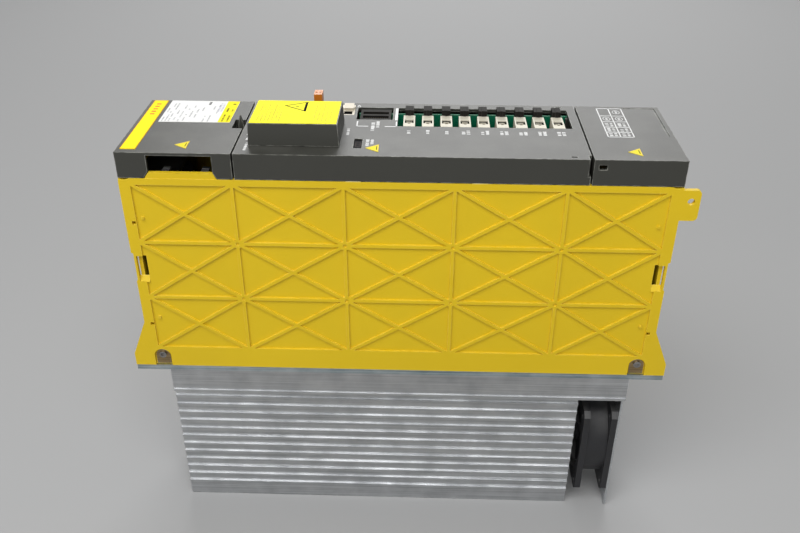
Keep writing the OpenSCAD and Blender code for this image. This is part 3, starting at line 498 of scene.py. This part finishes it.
can_ends = bmesh.new()
scores = bmesh.new()
for can_low, can_high in solid_boxes("capacitors"):
    middle = (can_low + can_high) / 2
    can_r = (can_high.x - can_low.x) / 2
    add_disc(can_ends, (middle.x, middle.y, can_high.z), can_r * 0.86, 0.15)
    add_block(scores, (middle.x - can_r * 0.5, middle.y - 0.3, can_high.z + 0.15),
              (middle.x + can_r * 0.5, middle.y + 0.3, can_high.z + 0.19))
    add_block(scores, (middle.x - 0.3, middle.y - can_r * 0.5, can_high.z + 0.15),
              (middle.x + 0.3, middle.y + can_r * 0.5, can_high.z + 0.19))
add_piece("capacitor_ends", can_ends, extruded, "chassis")
add_piece("capacitor_scores", scores, plated, "chassis")


# ---- Terminals ----
# Black barrier blocks: six power terminals on a ledge at the far end and two for the
# DC bars under the window's cover, with plated screws and white numbering strips.
dress("dc_terminal_block", fan_black, 0.0003)
dress("dc_terminal_screws", plated, 0.0002, 1)
dress("terminal_block", fan_black, 0.0003)
dress("terminal_screws", plated, 0.0002, 1)
ink_white = moulded_plastic("ink_white", (0.80, 0.80, 0.79), (0.9, 0.9, 0.9), grain=4000.0,
                            wear_and_highlight=0.0, dust=0.0, change=0.15, coarse=0.00001, specular=0.2)
terminal_print = bmesh.new()
block_low, block_high = mm_box("terminal_block")
for count, (screw_low, screw_high) in enumerate(solid_boxes("terminal_screws")):
    screw_y = (screw_low.y + screw_high.y) / 2
    for stroke in range(count % 3 + 1):
        add_block(terminal_print,
                  (block_low.x + 0.5, screw_y - 1.4 + stroke * 1.1, block_high.z),
                  (block_low.x + 2.3, screw_y - 0.8 + stroke * 1.1, block_high.z + 0.05))
add_piece("terminal_print", terminal_print, ink_white, "chassis")


# ---- Window tabs ----
# Two black tabs just inside the fan cover's window, with tinned ends that catch light.
tinned = drawn_metal("tinned_end", (0.75, 0.75, 0.72), (0.60, 0.60, 0.58), dull=0.45, gloss=0.3)
dress("window_tabs", fan_black, 0.0001, 1)
tab_ends = bmesh.new()
for tab_low, tab_high in solid_boxes("window_tabs"):
    add_block(tab_ends, (tab_low.x + 0.2, tab_high.y - 3.0, tab_high.z),
              (tab_high.x - 0.2, tab_high.y - 0.1, tab_high.z + 0.12))
add_piece("window_tab_ends", tab_ends, tinned, "chassis")


# ---- Grey covers ----
# Fan cover, faceplate, terminal cover and the DC window's cover: the same grained grey plastic,
# with softened corners. Their pale edge colour is mostly a painted highlight along the edges, with
# a little rubbing wear.
# painted highlight: the pale edge colour (0.34, 0.34, 0.30) at amount 0.9 lightens the covers'
# corners as if light caught them
cover_grey = moulded_plastic("cover_grey", (0.036, 0.036, 0.029), (0.34, 0.34, 0.30),
                             grain=2400.0, dull=0.56, gloss=0.42, wear_and_highlight=0.9, dust=0.06,
                             change=0.08, coarse=0.00003, specular=0.55)
for cover in ("fan_cover", "faceplate", "terminal_cover", "dc_link_cover"):
    dress(cover, cover_grey, 0.0007, 3)
dress("cover_latch", cover_grey, 0.0002, 1)


# ---- Strip label ----
# A strip of yellow film along the fan cover's end, edged in orange, with a line of
# plain orange-red bars at its far end.
def add_slab(shape, ring, low, high):
    """A flat slab with the given (x, y) outline, from z low to z high."""
    feet = [shape.verts.new((x, y, low)) for x, y in ring]
    tops = [shape.verts.new((x, y, high)) for x, y in ring]
    shape.faces.new(feet[::-1])
    shape.faces.new(tops)
    for i, foot in enumerate(feet):
        after = (i + 1) % len(feet)
        shape.faces.new((foot, feet[after], tops[after], tops[i]))


def add_line(shape, points, width, low, high, closed=False):
    """A printed line through (x, y) points, from z low to z high."""
    ends = list(zip(points, points[1:] + points[:1])) if closed else list(zip(points, points[1:]))
    for a, b in ends:
        a, b = Vector(a), Vector(b)
        along = (b - a).normalized() * width / 2
        side = Vector((-along.y, along.x))
        add_slab(shape, [a - along - side, b + along - side, b + along + side,
                         a - along + side], low, high)


def add_words(shape, x, y_from, y_to, height, z, seed):
    """A line of plain bars that runs along Y, as tall as height along X, like small print."""
    pick = random.Random(seed)
    y = y_from
    while y < y_to - height * 0.3:
        long = height * pick.uniform(0.22, 0.5)
        top = height * pick.choice((0.5, 0.5, 0.42))
        add_slab(shape, [(x - top, y), (x + top, y), (x + top, y + long), (x - top, y + long)],
                 z, z + ink_t)
        y += long + height * pick.choice((0.22, 0.22, 0.22, 0.7))


def label_film(name, colour, worn_and_highlit_colour, change=0.03):
    """Smooth matt film that labels are printed on."""
    return moulded_plastic(name, colour, worn_and_highlit_colour, grain=1200.0, dull=0.7, gloss=0.6, wear_and_highlight=0.0,
                           dust=0.0, change=change, coarse=0.00001, specular=0.12)


def label_ink(name, colour, worn_and_highlit_colour, change=0.2):
    """Dry ink, a little uneven."""
    return moulded_plastic(name, colour, worn_and_highlit_colour, wear_and_highlight=0.0, dust=0.0, change=change,
                           specular=0.1)


film_yellow = label_film("film_yellow", (0.86, 0.74, 0.006), (0.9, 0.85, 0.3))
ink_orange = label_ink("ink_orange", (0.62, 0.20, 0.01), (0.8, 0.4, 0.1))
ink_red = label_ink("ink_red", (0.72, 0.16, 0.02), (0.8, 0.4, 0.1))
film_t, ink_t = 0.02, 0.03        # an edging's height, and a printed mark's
dress("strip_label", film_yellow)
strip_low, strip_high = mm_box("strip_label")
edging = bmesh.new()
edge_from = strip_low + Vector((0.2, 0.2, 0))
edge_to = strip_high - Vector((0.2, 0.2, 0))
add_line(edging, [(edge_from.x, edge_from.y), (edge_to.x, edge_from.y),
                  (edge_to.x, edge_to.y), (edge_from.x, edge_to.y)],
         0.35, strip_high.z, strip_high.z + film_t, closed=True)
add_piece("strip_edging", edging, ink_orange, "fan_lid")
bars = bmesh.new()
for count in range(5):
    bar_x, bar_y = strip_low.x + 3.4, 17.5 + count * 4.6
    add_slab(bars, [(bar_x, bar_y), (bar_x + 3.0, bar_y), (bar_x + 3.0, bar_y + 1.9),
                    (bar_x, bar_y + 1.9)], strip_high.z, strip_high.z + ink_t)
add_piece("strip_bars", bars, ink_red, "fan_lid")


# ---- Rating plate ----
# White film with faint columns of small print, ruled squares and a yellow end.
film_white = label_film("film_white", (0.74, 0.74, 0.72), (0.8, 0.8, 0.8))
ink_grey = label_ink("ink_grey", (0.36, 0.36, 0.37), (0.5, 0.5, 0.5))
ink_lilac = label_ink("ink_lilac", (0.52, 0.52, 0.60), (0.6, 0.6, 0.6))
dress("rating_plate", film_white)
plate_low, plate_high = mm_box("rating_plate")
plate_end = bmesh.new()
end_from, end_to = plate_high.x - 8.4, plate_high.x - 0.1
add_slab(plate_end, [(end_from, plate_low.y + 0.1), (end_to, plate_low.y + 0.1),
                     (end_to, plate_high.y - 0.1), (end_from, plate_high.y - 0.1)],
         plate_high.z, plate_high.z + film_t)
add_piece("rating_plate_end", plate_end, film_yellow, "fan_lid")
plate_print = bmesh.new()
for count, (column, stretches) in enumerate((
        (1.9, ((1, 9), (17, 24))), (4.2, ((1, 13), (16, 19), (27, 33))),
        (6.4, ((1, 6), (9, 15), (22, 34))), (9.5, ((3, 8), (14, 21))),
        (12.6, ((1, 4), (8, 19), (24, 31))), (15.8, ((2, 9), (12, 14), (22, 25))),
        (19.0, ((9, 20), (26, 30))), (22.4, ((8, 14), (17, 24))), (25.6, ((20, 27),)),
        (29.4, ((1, 6), (9, 11))), (32.8, ((1, 12), (23, 30))), (36.0, ((16, 24), (28, 32))))):
    for part, (start, stop) in enumerate(stretches):
        add_words(plate_print, plate_low.x + column, plate_low.y + start,
                  plate_low.y + stop, 1.0, plate_high.z, count * 7 + part)
add_piece("rating_plate_print", plate_print, ink_grey, "fan_lid")
lilac_print = bmesh.new()
for column in (36.6, 38.6):
    add_words(lilac_print, plate_low.x + column, plate_low.y + 19, plate_high.y - 4, 1.5,
              plate_high.z, int(column * 10))
add_piece("rating_plate_codes", lilac_print, ink_lilac, "fan_lid")
dark_print = bmesh.new()
for column, start, stop in ((42.6, 1.5, 14), (42.8, 19, 26), (46.0, 2, 12), (46.2, 20, 24)):
    add_words(dark_print, plate_low.x + column, plate_low.y + start, plate_low.y + stop,
              1.3, plate_high.z + film_t, int(column * 10) + start)
add_words(dark_print, plate_low.x + 28.2, plate_high.y - 7.6, plate_high.y - 2.2, 1.8,
          plate_high.z, 5)
add_words(dark_print, plate_low.x + 45.6, plate_high.y - 6.6, plate_high.y - 4.2, 2.2,
          plate_high.z + film_t, 9)
add_piece("rating_plate_marks", dark_print, ink_dark, "fan_lid")


# ---- Triangle marks ----
# Small yellow film triangles on the fan cover, the faceplate and the terminal cover,
# each with a pale orange rim and a dark bar near its base.
ink_ochre = label_ink("ink_ochre", (0.74, 0.52, 0.14), (0.7, 0.5, 0.2), change=0.1)
film_gold = label_film("film_gold", (0.80, 0.68, 0.03), (0.9, 0.8, 0.3), change=0.1)
for mark, cover_body in (("fan_cover_mark", "fan_lid"), ("faceplate_mark", "control_unit"),
                         ("terminal_cover_mark", "terminal_lid")):
    dress(mark, film_gold)
    mark_low, mark_high = mm_box(mark)
    middle_y = (mark_low.y + mark_high.y) / 2
    half_base = (mark_high.y - mark_low.y) / 2
    rim = bmesh.new()
    add_line(rim, [(mark_low.x + 0.7, middle_y), (mark_high.x - 0.3, middle_y - half_base + 0.7),
                   (mark_high.x - 0.3, middle_y + half_base - 0.7)], 0.35,
             mark_high.z, mark_high.z + film_t, closed=True)
    add_piece(mark + "_rim", rim, ink_ochre, cover_body)
    base_bar = bmesh.new()
    add_line(base_bar, [(mark_high.x - 1.3, middle_y - 2.6), (mark_high.x - 1.3, middle_y + 2.6)],
             0.45, mark_high.z, mark_high.z + ink_t)
    add_piece(mark + "_bar", base_bar, ink_dark, cover_body)


# ---- Faceplate print ----
# White screen print on the faceplate: columns of small bars beside each socket, a
# bracket round the two-row socket, a strip and a small triangle.
face_z = mm_box("faceplate_mark")[0].z
face_print = bmesh.new()
signal_boxes = [mm_box("signal_connector_%d" % count) for count in range(1, 10)]
for count, (shell_low, shell_high) in enumerate(signal_boxes):
    shell_x = (shell_low.x + shell_high.x) / 2
    columns = (0.0,) if count < 3 else (-1.5, 1.7)
    for column in columns:
        add_words(face_print, shell_x + column, shell_low.y - 12.4, shell_low.y - 6.0, 2.3,
                  face_z, count * 3 + int(column))
bus_low, bus_high = mm_box("bus_connector")
for foot, end in ((bus_low.x - 1.2, bus_low.x + 6), (bus_high.x + 4.2, bus_high.x - 3)):
    add_line(face_print, [(foot, bus_low.y - 4.2), (foot, bus_low.y - 12.4),
                          (end, bus_low.y - 12.4)], 0.9, face_z, face_z + ink_t)
add_words(face_print, bus_low.x + 9.6, -4.6, 11.0, 2.4, face_z, 31)
add_words(face_print, bus_low.x + 12.8, 1.0, 11.0, 2.2, face_z, 32)
add_slab(face_print, [(bus_high.x + 3.0, 14), (bus_high.x + 4.8, 14), (bus_high.x + 4.8, 35.5),
                      (bus_high.x + 3.0, 35.5)], face_z, face_z + ink_t)
add_line(face_print, [(bus_low.x - 3.2, 37.6), (bus_low.x - 0.8, 37.6), (bus_low.x - 2.0, 41.0)],
         0.5, face_z, face_z + ink_t, closed=True)
dc_low, dc_high = mm_box("dc_link_cover")
add_words(face_print, dc_low.x - 1.5, -39.0, -26.5, 1.8, face_z, 41)
add_words(face_print, dc_low.x - 3.1, -14.8, -3.5, 1.7, face_z, 42)
add_slab(face_print, [(dc_low.x - 3.5, -22.6), (dc_low.x - 0.9, -22.6), (dc_low.x - 1.4, -17.4),
                      (dc_low.x - 2.6, -17.4)], face_z, face_z + ink_t)
add_words(face_print, dc_high.x + 3.8, -12.4, -0.4, 1.9, face_z, 43)
display_low, display_high = mm_box("status_display")
add_words(face_print, display_high.x + 3.3, -29.6, -18.4, 2.2, face_z, 44)
add_words(face_print, display_high.x + 6.3, -26.6, -18.4, 2.0, face_z, 45)
add_piece("faceplate_print", face_print, ink_white, "control_unit")


# ---- Status display ----
# A seven-segment digit behind a smoked window, unlit, so only faint segments show.
smoked = moulded_plastic("smoked_window", (0.004, 0.004, 0.005), (0.02, 0.02, 0.02),
                         grain=800.0, dull=0.75, gloss=0.6, wear_and_highlight=0.0, dust=0.0, specular=0.1)
unlit = moulded_plastic("unlit_segment", (0.035, 0.018, 0.016), (0.05, 0.03, 0.03), wear_and_highlight=0.0,
                        dust=0.0, specular=0.1)
dress("status_display", smoked)
digit = bmesh.new()
digit_x = (display_low.x + display_high.x) / 2
digit_y = (display_low.y + display_high.y) / 2
for segment in ((-1.3, -3, 1.3, -3), (-1.3, 0, 1.3, 0), (-1.3, 3, 1.3, 3), (-1.5, -2.7, -1.5, -0.3),
                (1.5, -2.7, 1.5, -0.3), (-1.5, 0.3, -1.5, 2.7), (1.5, 0.3, 1.5, 2.7)):
    add_line(digit, [(digit_x + segment[0], digit_y + segment[1]),
                     (digit_x + segment[2], digit_y + segment[3])], 0.35,
             display_high.z, display_high.z + 0.02)
add_piece("display_digit", digit, unlit, "control_unit")


# ---- Control board ----
# An upright green board behind the faceplate with flat chips, their legs, and rows
# of small ceramic parts with tinned ends.
dress("control_board", resist_green)
dress("control_chips", fan_black, 0.0002)
board_low, board_high = mm_box("control_board")
chip_boxes = solid_boxes("control_chips")
legs = bmesh.new()
for chip_low, chip_high in chip_boxes:
    for count in range(int((chip_high.x - chip_low.x - 1.5) / 1.25)):
        leg_x = chip_low.x + 1.2 + count * 1.25
        add_block(legs, (leg_x, board_low.y - 0.35, chip_low.z - 1.2),
                  (leg_x + 0.5, board_low.y - 0.05, chip_low.z))
        add_block(legs, (leg_x, board_low.y - 0.35, chip_high.z),
                  (leg_x + 0.5, board_low.y - 0.05, chip_high.z + 1.2))
add_piece("chip_legs", legs, tinned, "control_unit")
small_parts = bmesh.new()
small_ends = bmesh.new()
scatter = random.Random(12)
for count in range(150):
    part_x = scatter.uniform(board_low.x + 3, board_high.x - 5)
    part_z = scatter.uniform(board_low.z + 3, 146.0)
    near_chip = any(low.x - 3 < part_x < high.x + 2 and low.z - 3 < part_z < high.z + 3
                    for low, high in chip_boxes)
    if near_chip:
        continue
    add_block(small_parts, (part_x, board_low.y - 0.8, part_z),
              (part_x + 1.4, board_low.y - 0.05, part_z + 1.2))
    for end_x in (part_x - 0.4, part_x + 1.4):
        add_block(small_ends, (end_x, board_low.y - 0.82, part_z),
                  (end_x + 0.4, board_low.y - 0.05, part_z + 1.2))
ceramic = moulded_plastic("ceramic_part", (0.30, 0.22, 0.13), (0.5, 0.4, 0.3), grain=5000.0)
add_piece("board_parts", small_parts, ceramic, "control_unit")
add_piece("board_part_ends", small_ends, tinned, "control_unit")


# ---- Signal connectors ----
# Nine cream right-angle connectors, each with a keyed mouth lined with a near-black sheet of
# painted shade, and gold contacts along its tongue.
def add_shade_liner(shape, low, high, thin=0.12):
    """Thin walls and a floor just inside a mouth that opens upwards: a lining that paints the shade
    in it.
    """
    add_block(shape, low, (high[0], high[1], low[2] + thin))
    add_block(shape, low, (low[0] + thin, high[1], high[2]))
    add_block(shape, (high[0] - thin, low[1], low[2]), high)
    add_block(shape, low, (high[0], low[1] + thin, high[2]))
    add_block(shape, (low[0], high[1] - thin, low[2]), high)


gold = drawn_metal("gold_plate", (0.90, 0.62, 0.20), (0.75, 0.48, 0.14), dull=0.35, gloss=0.2)
# Near-black sheets that stand for the shade inside the mouths and wire holes: painted shade.
hollow_shade = moulded_plastic("painted_hollow_shade", (0.010, 0.009, 0.008), (0.05, 0.05, 0.05),
                          dull=0.8, gloss=0.7, wear_and_highlight=0.0, dust=0.0, specular=0.1)
signal_cream = moulded_plastic("signal_cream", (0.62, 0.58, 0.47), (0.8, 0.77, 0.66),
                               dull=0.55, gloss=0.4, wear_and_highlight=0.6, dust=0.1, specular=0.3)
for count in range(1, 10):
    dress("signal_connector_%d" % count, signal_cream, 0.0002, 2)
# the mouth's wall, start and length, its depth, and the tongue's place from its end
mouth_wall, mouth_start, mouth_l, mouth_depth, tongue_back = 0.92, 5.62, 6.36, 11.98, 1.38
contacts = bmesh.new()
hollow_shades = bmesh.new()
for shell_low, shell_high in signal_boxes:
    shell_x = (shell_low.x + shell_high.x) / 2
    mouth_half = (shell_high.x - shell_low.x) / 2 - mouth_wall
    mouth_from = shell_low.y + mouth_start
    mouth_to = mouth_from + mouth_l
    tongue_y = mouth_to - tongue_back
    # painted shade: a near-black lining inside each connector's mouth
    add_shade_liner(hollow_shades, (shell_x - mouth_half, mouth_from, shell_high.z - mouth_depth),
              (shell_x + mouth_half, mouth_to, shell_high.z - 0.9))
    for step in range(5):
        pin_x = shell_x + (step - 2) * 0.8
        add_block(contacts, (pin_x - 0.2, tongue_y - 0.08, shell_high.z - 8),
                  (pin_x + 0.2, tongue_y - 0.01, shell_high.z - 1.8))
add_piece("signal_contacts", contacts, gold, "control_unit")
add_piece("signal_hollow_shades", hollow_shades, hollow_shade, "control_unit")


# ---- Latch towers ----
# Black plastic towers behind the connectors, which the cable plugs' hooks grip.
tower_black = moulded_plastic("tower_black", (0.012, 0.011, 0.009), (0.12, 0.11, 0.10),
                              dull=0.75, gloss=0.6, wear_and_highlight=0.3, dust=0.05, specular=0.14)
dress("connector_latches", tower_black, 0.0003, 2)


# ---- Two-row connector ----
# A black header for the ribbon from the next module, with gold pins on each side of
# its tongue.
dress("bus_connector", tower_black, 0.0003, 2)
bus_pins = bmesh.new()
tongue_middle, tongue_half = bus_low.y + 9.4, 1.3
for step in range(12):
    for side in (-1, 1):
        pin_x = bus_low.x + 3.4 + step * 1.27
        face_y = tongue_middle + side * tongue_half
        add_block(bus_pins, (pin_x, min(face_y, face_y + side * 0.06), bus_high.z - 6),
                  (pin_x + 0.5, max(face_y, face_y + side * 0.06), bus_high.z - 1.4))
add_piece("bus_contacts", bus_pins, gold, "control_unit")


# ---- Monitor connector, plug header and plug ----
# A small beige socket whose mouth is lined with painted shade, a beige header and an orange plug
# whose wires enter two round holes in its top, shown as near-black discs of painted shade.
beige = moulded_plastic("beige_moulding", (0.56, 0.50, 0.38), (0.85, 0.82, 0.72), dull=0.5,
                        gloss=0.35, wear_and_highlight=0.8)
orange = moulded_plastic("orange_moulding", (0.55, 0.16, 0.012), (0.8, 0.42, 0.16), dull=0.45,
                         gloss=0.3)
dress("monitor_connector", beige, 0.0003)
monitor_low, monitor_high = mm_box("monitor_connector")
monitor_x = (monitor_low.x + monitor_high.x) / 2
# painted shade: a near-black lining inside the socket's mouth
monitor_hollow_shade = bmesh.new()
add_shade_liner(monitor_hollow_shade, (monitor_x - 2.88, monitor_low.y + 1.62, monitor_high.z - 7.38),
          (monitor_x + 2.88, monitor_low.y + 7.58, monitor_high.z - 2.2))
add_piece("monitor_hollow_shade", monitor_hollow_shade, hollow_shade, "control_unit")
dress("plug_header", beige, 0.0002)
dress("orange_plug", orange, 0.0004)
plug_low, plug_high = mm_box("orange_plug")
arrow = bmesh.new()
plug_x = (plug_low.x + plug_high.x) / 2
arrow_foot = [arrow.verts.new((plug_x + x, plug_low.y - depth, plug_high.z - 9.4 + z))
              for depth in (0.0, 0.05) for x, z in ((-1.0, 0.0), (1.0, 0.0), (0.0, 1.7))]
bmesh.ops.convex_hull(arrow, input=arrow_foot)
add_piece("plug_arrow", arrow, ink_white, "plug")
# painted shade: near-black discs just under the plug's top stand for the two wire holes
wire_hole_shades = bmesh.new()
for side in (-1, 1):
    bmesh.ops.create_circle(wire_hole_shades, cap_ends=True, segments=20, radius=0.78,
                            matrix=Matrix.Translation((plug_x + side * 1.3, (plug_low.y
                            + plug_high.y) / 2, plug_high.z - 0.5)))
add_piece("plug_hole_shades", wire_hole_shades, hollow_shade, "plug")


# ---- DC window cover's label ----
# Yellow film over the whole top, printed with a plain black triangle and dim lines of
# small print.
film_lemon = label_film("film_lemon", (0.88, 0.82, 0.02), (0.9, 0.85, 0.3))
ink_dim = label_ink("ink_dim", (0.62, 0.56, 0.02), (0.7, 0.6, 0.2))
dress("dc_cover_label", film_lemon)
label_low, label_high = mm_box("dc_cover_label")
warning = bmesh.new()
tip = Vector((label_high.x - 36.0, -1.5))
base_x = tip.x + 14.0
add_line(warning, [tuple(tip), (base_x, tip.y - 9.0), (base_x, tip.y + 6.6)], 0.8,
         label_high.z, label_high.z + ink_t, closed=True)
add_line(warning, [(base_x - 0.6, tip.y - 7.6), (base_x - 0.6, tip.y + 5.0)], 1.2,
         label_high.z, label_high.z + ink_t)
add_line(warning, [(base_x - 6.6, tip.y - 0.8), (base_x - 5.6, tip.y - 0.8)], 0.9,
         label_high.z, label_high.z + ink_t)
add_piece("dc_label_triangle", warning, ink_dark, "dc_lid")
dim_print = bmesh.new()
for count in range(7):
    add_words(dim_print, label_low.x + 4.5 + count * 2.3, label_low.y + 3,
              label_high.y - (4, 9, 6, 14, 5, 8, 18)[count], 1.0, label_high.z, 60 + count)
for count in range(5):
    add_words(dim_print, label_high.x - 15.0 + count * 2.6, label_low.y + 4,
              label_high.y - (6, 12, 4, 9, 15)[count], 1.0, label_high.z, 80 + count)
add_piece("dc_label_print", dim_print, ink_dim, "dc_lid")


# ---- Terminal cover's table ----
# A white screen-printed table of two by five boxes on the terminal cover, each with a
# plain ring or bars in it.
table = bmesh.new()
table_z = mm_box("terminal_cover_mark")[0].z
table_x = (135.5, 143.6, 152.4)
table_y = (-9.0, -1.0, 7.6, 17.0, 27.4, 41.0)
for line_x in table_x:
    add_line(table, [(line_x, table_y[0]), (line_x, table_y[-1])], 0.75, table_z, table_z + ink_t)
for line_y in table_y:
    add_line(table, [(table_x[0], line_y), (table_x[-1], line_y)], 0.75, table_z, table_z + ink_t)
for column in range(2):
    middle_x = (table_x[column] + table_x[column + 1]) / 2
    for row in range(5):
        low_y, high_y = table_y[row] + 1.6, table_y[row + 1] - 1.6
        if (row, column) in ((3, 0), (3, 1), (4, 1)):
            ring = [(middle_x + math.cos(a / 12 * math.tau) * 2.4,
                     (low_y + high_y) / 2 + math.sin(a / 12 * math.tau) * 3.2)
                    for a in range(12)]
            add_line(table, ring, 0.55, table_z, table_z + ink_t, closed=True)
            add_words(table, middle_x, low_y + 1.8, high_y - 1.6, 1.6, table_z, row * 5)
        elif (row, column) != (4, 0):
            add_words(table, middle_x - 1.5, low_y, high_y, 2.2, table_z, row * 9 + column)
            add_words(table, middle_x + 1.6, low_y, high_y, 1.8, table_z, row * 9 + column + 50)
add_piece("terminal_table", table, ink_white, "terminal_lid")
